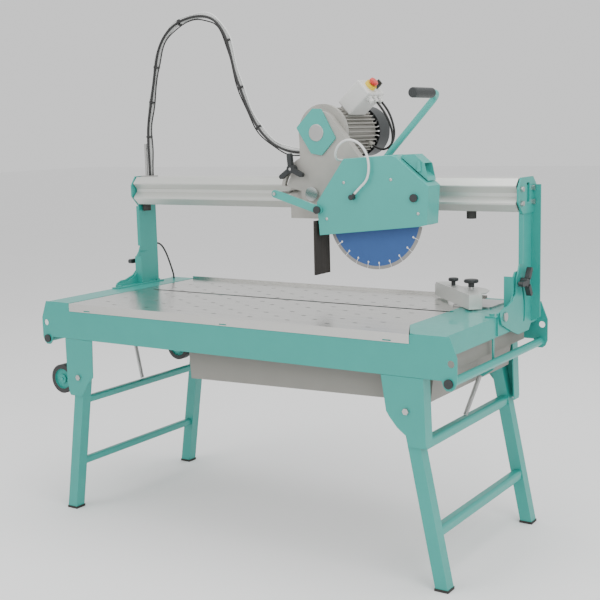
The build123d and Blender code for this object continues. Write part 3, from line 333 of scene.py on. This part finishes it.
FINISHES: dict[str, Finish] = {f.name: f for f in (
    Finish("frame_paint", TEAL, 0.0, 0.42, 700.0, 0.10, 0.05, 0.25),
    Finish("guard_paint", GUARD_TEAL, 0.0, 0.38, 700.0, 0.06, 0.05, 0.2),
    Finish("guard_shell", GUARD_TEAL, 0.0, 0.38, 700.0, 0.06, 0.05, 0.2, Axis.NONE,
           (Region(BLACK, planes=((GUARD_FACE, (0.0, -1.0, 0.0)),)),)),
    Finish("stainless", (0.66, 0.655, 0.63), 1.0, 0.22, 1500.0, 0.05, 0.08, 0.0, Axis.ALONG_X),
    Finish("zinc_steel", (0.50, 0.50, 0.49), 1.0, 0.36, 1200.0, 0.05, 0.10),
    Finish("bright_steel", (0.62, 0.62, 0.61), 1.0, 0.22, 1500.0, 0.03, 0.05),
    Finish("cast_alloy", (0.40, 0.39, 0.36), 0.35, 0.55, 1100.0, 0.35, 0.09),
    Finish("extruded_alloy", (0.62, 0.63, 0.60), 0.55, 0.38, 1400.0, 0.05, 0.05, 0.0, Axis.ALONG_X),
    Finish("tray_plastic", (0.24, 0.235, 0.212), 0.0, 0.62, 900.0, 0.14, 0.05),
    Finish("black_plastic", BLACK, 0.0, 0.48, 1300.0, 0.16, 0.12),
    Finish("grey_plastic", (0.62, 0.62, 0.60), 0.0, 0.40, 1100.0, 0.06, 0.04, 0.1, Axis.NONE,
           (Region((0.75, 0.55, 0.03), planes=((BOX_FACE, BOX_UP), (BOX_SPLIT, (0.0, -1.0, 0.0)))),
            Region(BLACK, planes=((BOX_FACE, BOX_UP), (BOX_SPLIT, (0.0, 1.0, 0.0)))))),
    Finish("black_rubber", (0.030, 0.029, 0.027), 0.0, 0.78, 1000.0, 0.22, 0.15),
    Finish("wheel_rubber", TEAL, 0.0, 0.60, 1000.0, 0.15, 0.08, 0.0, Axis.NONE,
           (Region((0.028, 0.028, 0.028), centre=WHEEL_CENTRE, radius=0.036),)),
    Finish("red_plastic", (0.60, 0.03, 0.02), 0.0, 0.32, 1100.0, 0.04, 0.05, 0.2),
    Finish("blade_blue", (0.035, 0.105, 0.31), 0.25, 0.36, 1300.0, 0.05, 0.07, 0.1, Axis.NONE,
           (Region((0.30, 0.29, 0.28), centre=BLADE_CENTRE, radius=0.164),)),
    Finish("bristle", (0.035, 0.031, 0.028), 0.0, 0.85, 1600.0, 0.6, 0.25, 0.0, Axis.ALONG_Z),
    Finish("hose_plastic", (0.50, 0.51, 0.50), 0.0, 0.45, 900.0, 0.08, 0.08),
    Finish("white_hose", (0.70, 0.71, 0.70), 0.0, 0.32, 900.0, 0.05, 0.05),
    Finish("cable_black", (0.018, 0.018, 0.018), 0.0, 0.55, 1200.0, 0.12, 0.10),
    Finish("floor_pale", (0.93, 0.93, 0.93), 0.0, 0.85, 60.0, 0.02, 0.01),
)}

NODE_FINISH: dict[str, str] = {
    "blade_guard": "guard_shell",
    "front_wheel": "wheel_rubber",
    "rear_wheel": "wheel_rubber",
}


# ---------------------------------------------------------------- surfaces
class Surface:
    """Closed surfaces made from whole arrays of points."""

    def __init__(self, materials: dict[str, bpy.types.Material]) -> None:
        self.materials = materials

    def piece(self, name: str, rings: np.ndarray, finish: str) -> bpy.types.Object:
        """Closed skin over rings of points, with a flat fan on both ends.

        Args:
            name: Name of the new piece.
            rings: Array of ring, point and coordinate, in the row frame.
            finish: Name of its finish.

        Returns:
            The new object, at the origin.
        """
        count, sides = rings.shape[:2]
        ends = np.stack([rings[0].mean(0), rings[-1].mean(0)])
        points = np.concatenate([rings.reshape(-1, 3), ends])
        ring, side = np.meshgrid(np.arange(count - 1), np.arange(sides), indexing="ij")
        turn = (side + 1) % sides
        quads = np.stack([ring * sides + side, ring * sides + turn, (ring + 1) * sides + turn,
                          (ring + 1) * sides + side], -1).reshape(-1, 4)
        around = np.arange(sides)
        after = (around + 1) % sides
        low = np.stack([np.full(sides, count * sides), after, around], -1)
        top = (count - 1) * sides
        high = np.stack([np.full(sides, count * sides + 1), top + around, top + after], -1)
        mesh = bpy.data.meshes.new(name)
        mesh.from_pydata(points.tolist(), [], quads.tolist() + low.tolist() + high.tolist())
        shell = bmesh.new()
        shell.from_mesh(mesh)
        bmesh.ops.recalc_face_normals(shell, faces=shell.faces)
        shell.to_mesh(mesh)
        shell.free()
        mesh.polygons.foreach_set("use_smooth", np.array([len(p.vertices) == 4 for p in mesh.polygons]))
        mesh.materials.append(self.materials[finish])
        made = bpy.data.objects.new(name, mesh)
        bpy.context.scene.collection.objects.link(made)
        return made

    @staticmethod
    def frames(path: np.ndarray) -> tuple[np.ndarray, np.ndarray]:
        """Two crosswise directions along a path, carried forward without twist.

        Args:
            path: Points of the centreline.

        Returns:
            The first and the second crosswise direction at each point.
        """
        tangent = np.gradient(path, axis=0)
        tangent /= np.linalg.norm(tangent, axis=1)[:, None]
        start = np.array([0.0, 0.0, 1.0]) if abs(tangent[0][2]) < 0.8 else np.array([0.0, 1.0, 0.0])
        across = np.zeros_like(path)
        for index, direction in enumerate(tangent):
            start = start - direction * (start @ direction)
            start /= np.linalg.norm(start)
            across[index] = start
        return across, np.cross(tangent, across)

    def tube(self, name: str, path: np.ndarray, radius: float, finish: str,
             sides: int = 16) -> bpy.types.Object:
        """Round tube: centreline plus radius times the cosine and sine of the crosswise directions.

        Args:
            name: Name of the new piece.
            path: Points of the centreline.
            radius: Outer radius in metres.
            finish: Name of its finish.
            sides: Points round the tube.

        Returns:
            The new object.
        """
        first, second = self.frames(path)
        turn = np.linspace(0.0, 2.0 * np.pi, sides, endpoint=False)
        rings = (path[:, None] + radius * (np.cos(turn)[None, :, None] * first[:, None]
                                           + np.sin(turn)[None, :, None] * second[:, None]))
        return self.piece(name, rings, finish)


def turned(surface: Surface, name: str, centre: Point, profile: np.ndarray, sides: int,
           finish: str) -> bpy.types.Object:
    """Disc turned about Y: each profile row is a circle of that radius, so far in front.

    Args:
        surface: The surface builder.
        name: Name of the new piece.
        centre: Middle of its back, in the row frame.
        profile: Rows of radius and height, from the edge to the crown.
        sides: Points round each circle.
        finish: Name of its finish.

    Returns:
        The new object.
    """
    turn = np.linspace(0.0, 2.0 * np.pi, sides, endpoint=False)
    out, up = profile[:, :1], profile[:, 1:]
    ring = np.stack([out * np.cos(turn), np.broadcast_to(-up, (len(profile), sides)),
                     out * np.sin(turn)], -1)
    return surface.piece(name, np.array(centre) + ring, finish)


def route_curve(name: str, route: Sequence[Sequence[float]]) -> bpy.types.Object:
    """NURBS curve of order three through the control points of a route.

    Args:
        name: Name of the curve.
        route: Bench points in millimetres.

    Returns:
        The curve object, with no thickness.
    """
    data = bpy.data.curves.new(name, "CURVE")
    data.dimensions = "3D"
    data.resolution_u = 10
    data.use_fill_caps = True
    line = data.splines.new("NURBS")
    line.points.add(len(route) - 1)
    for point, place in zip(line.points, route):
        point.co = (*bench(place), 1.0)
    line.order_u = 3
    line.use_endpoint_u = True
    made = bpy.data.objects.new(name, data)
    bpy.context.scene.collection.objects.link(made)
    return made


def curve_path(route: Sequence[Sequence[float]]) -> np.ndarray:
    """Points of the smooth line of a route.

    Args:
        route: Bench points in millimetres.

    Returns:
        The points in the row frame, in order.
    """
    guide = route_curve("route_guide", route)
    bpy.context.view_layer.update()
    mesh = bpy.data.meshes.new_from_object(guide)
    points = np.array([v.co for v in mesh.vertices], float)
    bpy.data.objects.remove(guide)
    bpy.data.meshes.remove(mesh)
    keep = np.concatenate([[True], np.linalg.norm(np.diff(points, axis=0), axis=1) > 1e-5])
    return points[keep]


# ---------------------------------------------------------------- flexible pieces
@dataclass(frozen=True)
class CordPlan:
    """A cord between two fixed ends: route, radius, finish and the bodies it joins."""

    node: str
    route: tuple[Point, ...]
    radius: float
    finish: str
    bodies: tuple[str, ...]


HOSE_ROUTE: tuple[Point, ...] = (
    (-742, 545, 1178), (-742, 545, 1238), (-745, 546, 1301), (-742, 547, 1372), (-724, 547, 1446),
    (-706, 547, 1524), (-691, 546, 1592), (-672, 545, 1656), (-633, 545, 1710), (-572, 545, 1748),
    (-494, 545, 1762), (-436, 545, 1758), (-390, 545, 1734), (-354, 545, 1682), (-336, 545, 1622),
    (-318, 545, 1546), (-286, 545, 1468), (-254, 544, 1400), (-216, 543, 1342), (-164, 541, 1296),
    (-108, 539, 1270), (-52, 538, 1260), (2, 538, 1260))
CORDS: tuple[CordPlan, ...] = (
    CordPlan("guard_hose", ((199, 424, 1236), (199, 400, 1236), (202, 377, 1243), (210, 360, 1261),
                            (224, 351, 1282), (246, 345, 1298), (272, 342, 1305), (299, 340, 1300),
                            (324, 338, 1284), (342, 337, 1258), (349, 337, 1228), (347, 338, 1198),
                            (338, 339, 1172), (309.3, 339, 1147.3), (292.3, 339, 1130.3)),
             0.004, "white_hose", ("head", "guard")),
    CordPlan("motor_cable", ((237.8, 630, 1425.2), (254.4, 630, 1406.5), (265, 637, 1382),
                             (270, 647, 1354), (271, 657, 1324), (262, 665, 1294), (240, 669, 1268),
                             (206.3, 670, 1262), (176.9, 670, 1279)),
             0.004, "cable_black", ("head",)),
    CordPlan("switch_cable", ((237.8, 596, 1425.2), (254.4, 596, 1406.5), (268, 602, 1382),
                              (277, 612, 1354), (280, 624, 1324), (275, 635, 1293), (259, 643, 1266),
                              (238, 645.5, 1243), (226, 645.5, 1220), (226, 645.5, 1194)),
             0.004, "cable_black", ("head", "carriage")),
    CordPlan("column_cable", ((-802, 612, 905), (-802, 634, 905), (-799, 654, 893), (-792, 664, 872),
                              (-780, 666, 846), (-767, 664, 818), (-755, 662, 792), (-748, 661, 772),
                              (-748, 661, 759)),
             0.0035, "cable_black", ("bridge", "bench")),
)


class Cords:
    """Hoses and cables, each in place of its CAD tube."""

    HOSE_OFFSET = 0.0042
    CABLE_OFFSET = 0.0080
    TIE_WIDTH = 0.006
    TIE_SHARES = (0.10, 0.19, 0.28, 0.42, 0.60, 0.72, 0.83)

    def __init__(self, surface: Surface) -> None:
        self.surface = surface

    def build(self) -> None:
        """Builds the four thin cords and the hose bundle."""
        for plan in CORDS:
            self.thin(plan)
        self.bundle()

    def thin(self, plan: CordPlan) -> bpy.types.Object:
        """One cord, riding on one body, or baked in place as a fixed tube between two.

        Args:
            plan: What to build.

        Returns:
            The cord.
        """
        path = curve_path(plan.route)
        if len(plan.bodies) == 1:
            made = route_curve(plan.node + "_look", plan.route)
            made.data.bevel_depth = plan.radius
            made.data.bevel_resolution = 4
            made.data.materials.append(self.surface.materials[plan.finish])
            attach(made, plan.bodies[0])
        else:
            made = self.surface.tube(plan.node + "_look", path, plan.radius, plan.finish)
            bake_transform(made)
        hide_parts(plan.node)
        return made

    def wire(self, index: int, path: np.ndarray) -> bpy.types.Object:
        """Thin wire beside the bundle: its offset is a constant plus a squared sine along it.

        Args:
            index: Number of the wire, which also picks its side.
            path: Centreline of the bundle.

        Returns:
            The wire.
        """
        first, second = self.surface.frames(path)
        share = np.linspace(0.0, 1.0, len(path))[:, None]
        side = 1.0 if index == 0 else -1.0
        out = 0.0095 + 0.0050 * np.sin(np.pi * 9.0 * share) ** 2
        line = path + side * out * second + 0.002 * np.sin(np.pi * 7.0 * share) * first
        finish = "white_hose" if index == 0 else "cable_black"
        return self.surface.tube(f"bundle_wire_{index + 1}", line, 0.0024, finish, 8)

    def bundle(self) -> None:
        """Water hose with the mains cable beside it and ties round both."""
        path = curve_path(HOSE_ROUTE)
        first, _ = self.surface.frames(path)
        hose_line = path + self.HOSE_OFFSET * first
        cable_line = path - self.CABLE_OFFSET * first
        hose = self.surface.tube("water_hose", hose_line, 0.0075, "hose_plastic", 18)
        cable = self.surface.tube("mains_cable", cable_line, 0.0046, "cable_black", 14)
        wires = [self.wire(index, path) for index in range(2)]
        along = np.concatenate([[0.0], np.cumsum(np.linalg.norm(np.diff(path, axis=0), axis=1))])
        ties = []
        for index, share in enumerate(self.TIE_SHARES):
            near = share * along[-1] + np.linspace(-self.TIE_WIDTH / 2, self.TIE_WIDTH / 2, 5)
            band = np.stack([np.interp(near, along, path[:, axis]) for axis in range(3)], -1)
            ties.append(self.surface.tube(f"hose_tie_{index + 1}", band, 0.0127, "cable_black", 20))
        for piece in (hose, cable, *wires, *ties):
            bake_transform(piece)
        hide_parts("hose_bundle")


@dataclass(frozen=True)
class LegSpring:
    """Close coiled helper spring between the frame and a leg bar."""

    side: str
    foot: Point
    top: Point
    radius: float = 0.0062
    wire: float = 0.0013
    coils: int = 34

    def build(self, surface: Surface) -> bpy.types.Object:
        """Wire along a helix: the axis point plus the coil radius at an angle that grows with height.

        Args:
            surface: The surface builder.

        Returns:
            The spring.
        """
        foot, top = np.array(bench(self.foot)), np.array(bench(self.top))
        share = np.linspace(0.0, 1.0, self.coils * 12)
        axis = (top - foot) / np.linalg.norm(top - foot)
        first = np.array([0.0, 1.0, 0.0])
        second = np.cross(axis, first)
        turn = 2.0 * np.pi * self.coils * share
        inset = self.wire / np.linalg.norm(top - foot)
        centre = foot + (inset + (1.0 - 2.0 * inset) * share)[:, None] * (top - foot)
        path = centre + self.radius * (np.cos(turn)[:, None] * first + np.sin(turn)[:, None] * second)
        made = surface.tube(self.side + "_spring_coil", path, self.wire, "zinc_steel", 8)
        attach(made, "bench")
        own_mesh(made)
        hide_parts(self.side + "_leg_spring")
        return made


@dataclass(frozen=True)
class SplashFlap:
    """Slab of bristles behind the blade, ribbed from top to bottom."""

    x0: float = 126.0
    x1: float = 136.0
    y0: float = 342.0
    y1: float = 442.0
    top: float = 1038.0
    low: float = 856.0
    ribs: float = 60.0

    def build(self, surface: Surface) -> bpy.types.Object:
        """Rounded oblong rings that swell a little downwards, with bristle ribs as a sine round them.

        Args:
            surface: The surface builder.

        Returns:
            The flap.
        """
        turn = np.linspace(0.0, 2.0 * np.pi, 480, endpoint=False)
        height = np.linspace(0.0, 1.0, 40)
        cos, sin = np.cos(turn), np.sin(turn)
        round_x = np.sign(cos) * np.abs(cos) ** 0.35
        round_y = np.sign(sin) * np.abs(sin) ** 0.35
        rib = 1.0 + 0.05 * np.sin(self.ribs * turn)
        swell = 0.78 + 0.17 * height
        half_x, half_y = (self.x1 - self.x0) / 2, 0.94 * (self.y1 - self.y0) / 2
        x = (self.x0 + self.x1) / 2 + half_x * swell[:, None] * (round_x * rib)[None]
        y = np.broadcast_to(((self.y0 + self.y1) / 2 + half_y * round_y)[None], x.shape)
        z = np.broadcast_to((self.top - (self.top - self.low) * height)[:, None], x.shape)
        ends = 1.2 * np.sin(23.0 * turn) * (height[:, None] > 0.98)
        rings = np.stack([x / 1000, (y - ORIGIN_Y) / 1000, (z + np.abs(ends)) / 1000], -1)
        made = surface.piece("flap_bristles", rings, "bristle")
        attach(made, "guard")
        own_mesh(made)
        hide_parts("splash_flap")
        return made


@dataclass(frozen=True)
class CoverBoss:
    """Plain round boss on the face of the belt housing."""

    x: float = 92.0
    z: float = 1328.0
    radius: float = 0.029
    height: float = 0.0022

    def build(self, surface: Surface) -> bpy.types.Object:
        """Low disc whose edge is a quarter circle: radius and height follow the cosine and the sine.

        Args:
            surface: The surface builder.

        Returns:
            The boss.
        """
        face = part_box("belt_cover")[0][1]
        rise = np.linspace(0.0, 0.5 * np.pi, 6)
        profile = np.stack([self.radius - self.height * (1.0 - np.cos(rise)),
                            self.height * np.sin(rise)], -1)
        made = turned(surface, "cover_boss", (self.x / 1000.0, face, self.z / 1000.0), profile, 48,
                      "zinc_steel")
        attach(made, "head")
        return made


@dataclass(frozen=True)
class GuardScrews:
    """Domed screw heads on the guard's front face."""

    places: tuple[tuple[float, float], ...] = ((178.0, 1046.0), (246.0, 1166.0), (420.0, 1176.0),
                                               (516.0, 1070.0))
    radius: float = 0.0055
    height: float = 0.0028
    pin_reach: float = 0.020    # how far the link's pin head stands in front of the guard's face

    def build(self, surface: Surface) -> list[bpy.types.Object]:
        """Dome: radius times the cosine, and height times the sine, of an angle up to the crown.

        Args:
            surface: The surface builder.

        Returns:
            The screw heads.
        """
        made = []
        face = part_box("blade_guard")[0][1] + self.pin_reach
        rise = np.linspace(0.0, 0.48 * np.pi, 7)
        profile = np.stack([self.radius * np.cos(rise), self.height * np.sin(rise)], -1)
        for index, (x, z) in enumerate(self.places):
            screw = turned(surface, f"guard_screw_{index + 1}", (x / 1000.0, face, z / 1000.0),
                           profile, 20, "zinc_steel")
            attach(screw, "guard")
            made.append(screw)
        return made


# ---------------------------------------------------------------- scene
class Studio:
    """Floor, light and camera."""

    LAMPS = (
        ("key", (-1.6, -3.2, 3.4), 2.6, 52.0),
        ("fill", (3.4, -1.8, 2.4), 2.6, 75.0),
        ("top", (0.2, 0.4, 4.2), 3.4, 90.0),
    )
    CAMERA_PLACE = (2.102, -3.1335, 1.343)
    CAMERA_AXES = ((0.8364, -0.0634, 0.5444), (0.5473, 0.1424, -0.8247),
                   (-0.0252, 0.9878, 0.1538))

    def __init__(self, materials: dict[str, bpy.types.Material]) -> None:
        self.materials = materials

    def build(self) -> None:
        """Sets the floor, the lamps, the world and the camera."""
        self.floor()
        for name, place, size, power in self.LAMPS:
            self.lamp(name, place, size, power)
        world = bpy.data.worlds.new("studio")
        world.use_nodes = True
        world.node_tree.nodes["Background"].inputs["Color"].default_value = (1.0, 1.0, 1.0, 1.0)
        world.node_tree.nodes["Background"].inputs["Strength"].default_value = 0.95
        bpy.context.scene.world = world
        self.camera()

    def floor(self) -> None:
        """Wide pale floor under the feet."""
        side = 30.0
        mesh = bpy.data.meshes.new("floor")
        mesh.from_pydata([(-side, -side, 0), (side, -side, 0), (side, side, 0), (-side, side, 0)], [],
                         [(0, 1, 2, 3)])
        mesh.materials.append(self.materials["floor_pale"])
        floor = bpy.data.objects.new("floor", mesh)
        bpy.context.scene.collection.objects.link(floor)

    @staticmethod
    def lamp(name: str, place: Point, size: float, power: float) -> None:
        """Square soft lamp that faces the table.

        Args:
            name: Name of the lamp.
            place: Where it hangs.
            size: Length of its side in metres.
            power: Its power in watts.
        """
        data = bpy.data.lights.new(name, "AREA")
        data.size = size
        data.energy = power
        lamp = bpy.data.objects.new(name, data)
        lamp.location = place
        aim = Vector((0.0, 0.0, 0.8)) - Vector(place)
        lamp.rotation_euler = aim.to_track_quat("-Z", "Y").to_euler()
        bpy.context.scene.collection.objects.link(lamp)

    @staticmethod
    def camera() -> None:
        """Camera in front and to the right, a little above the table."""
        data = bpy.data.cameras.new("camera")
        data.lens = 66.0
        data.sensor_width = 36.0
        camera = bpy.data.objects.new("camera", data)
        turn = Matrix(Studio.CAMERA_AXES)
        camera.matrix_world = Matrix.Translation(Studio.CAMERA_PLACE) @ turn.to_4x4()
        bpy.context.scene.collection.objects.link(camera)
        bpy.context.scene.camera = camera


def paint(materials: dict[str, bpy.types.Material]) -> None:
    """Gives every CAD node the finish of its material slot.

    Args:
        materials: The finished materials by name.
    """
    slots = {part["node"]: part["material_slot"] for part in frame["record"]["subparts"]}
    for node, piece in frame["nodes"].items():
        name = NODE_FINISH.get(node, slots[node])
        name = "frame_paint" if name == "leg_paint" else name
        piece.data.materials.clear()
        piece.data.materials.append(materials[name])


def main() -> None:
    """Builds the looks, the flexible pieces and the studio."""
    logging.basicConfig(level=logging.INFO)
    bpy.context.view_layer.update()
    groups = EffectGroups()
    materials = {name: finish.build(groups) for name, finish in FINISHES.items()}
    paint(materials)
    surface = Surface(materials)
    Cords(surface).build()
    LegSpring("left", (-664.4, 350.0, 420.0), (-690.0, 350.0, 545.0)).build(surface)
    LegSpring("right", (676.0, 350.0, 440.0), (727.0, 350.0, 576.0)).build(surface)
    SplashFlap().build(surface)
    GuardScrews().build(surface)
    CoverBoss().build(surface)
    Studio(materials).build()


if __name__ == "__main__":
    main()
